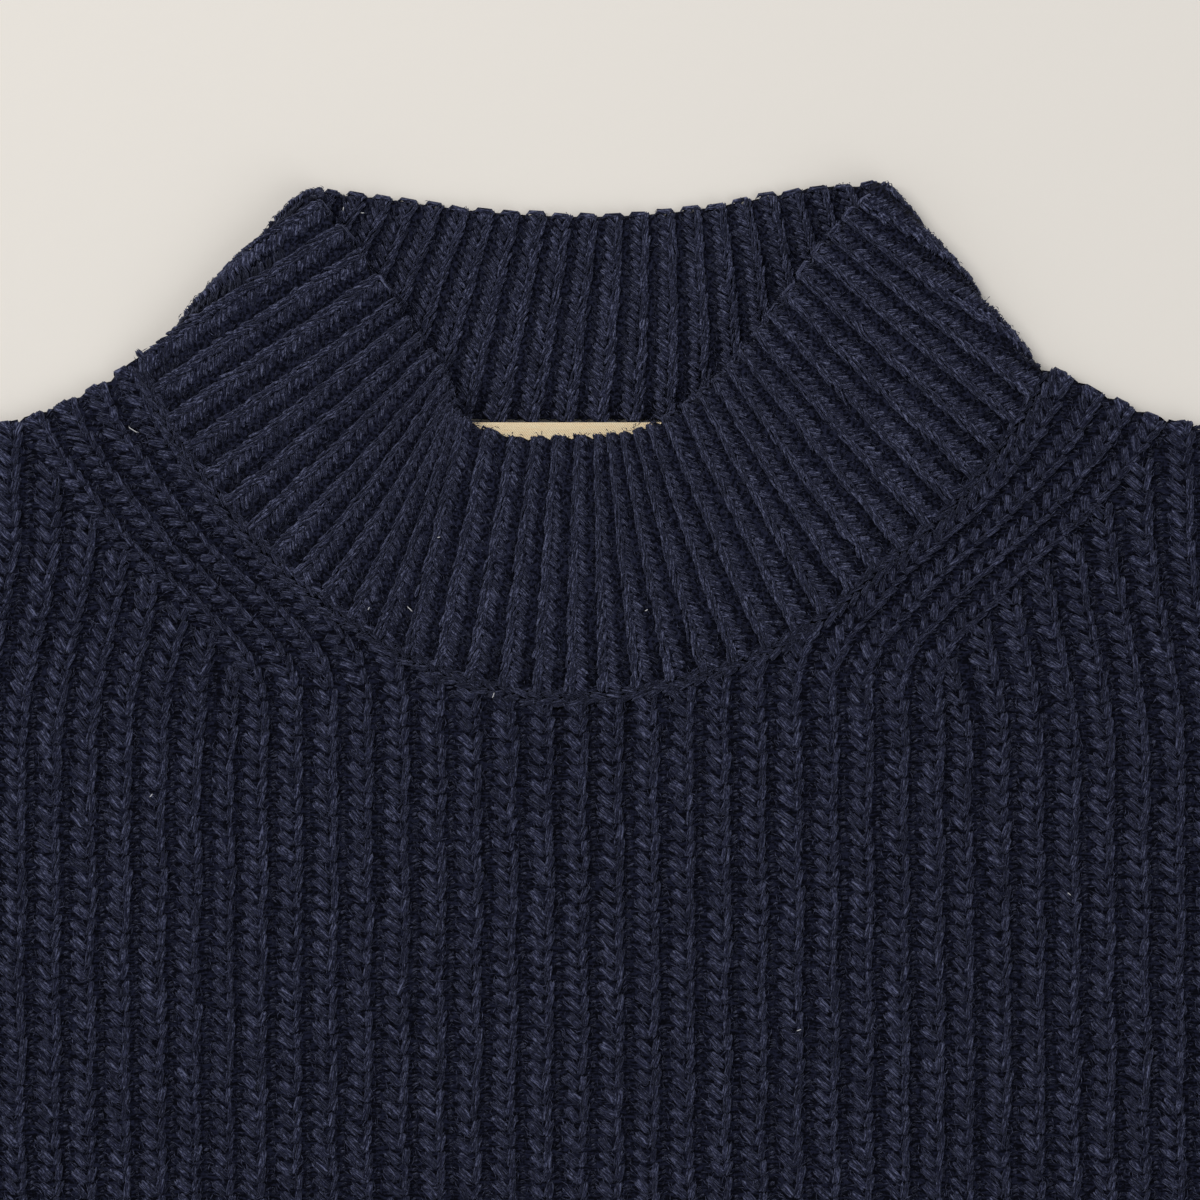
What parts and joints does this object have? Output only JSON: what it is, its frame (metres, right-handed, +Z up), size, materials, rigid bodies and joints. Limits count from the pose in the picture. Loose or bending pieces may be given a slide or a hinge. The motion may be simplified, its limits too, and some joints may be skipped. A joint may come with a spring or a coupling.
{
  "type": "sweater vest",
  "caption": "Sleeveless chunky rib knit vest with a doubled rib mock neck and rib armhole bands, laid flat on its back.",
  "frame": {"origin": "middle of the underside of the whole vest as it lies on its back", "axes": "+Z up from the surface it lies on, +Y from the hem towards the collar, +X to the viewer's right"},
  "size_m": [0.5616, 0.6712, 0.0182],
  "materials": {
    "knit_navy": "matte chunky wool rib knit",
    "rib_navy": "matte finer wool rib knit",
    "label_cream": "plain woven cotton tape"
  },
  "bodies": {
    "root": {"front": "knit_navy", "back": "knit_navy", "collar": "rib_navy", "armhole_band_left": "rib_navy", "armhole_band_right": "rib_navy", "neck_label": "label_cream"}
  },
  "joints": []
}
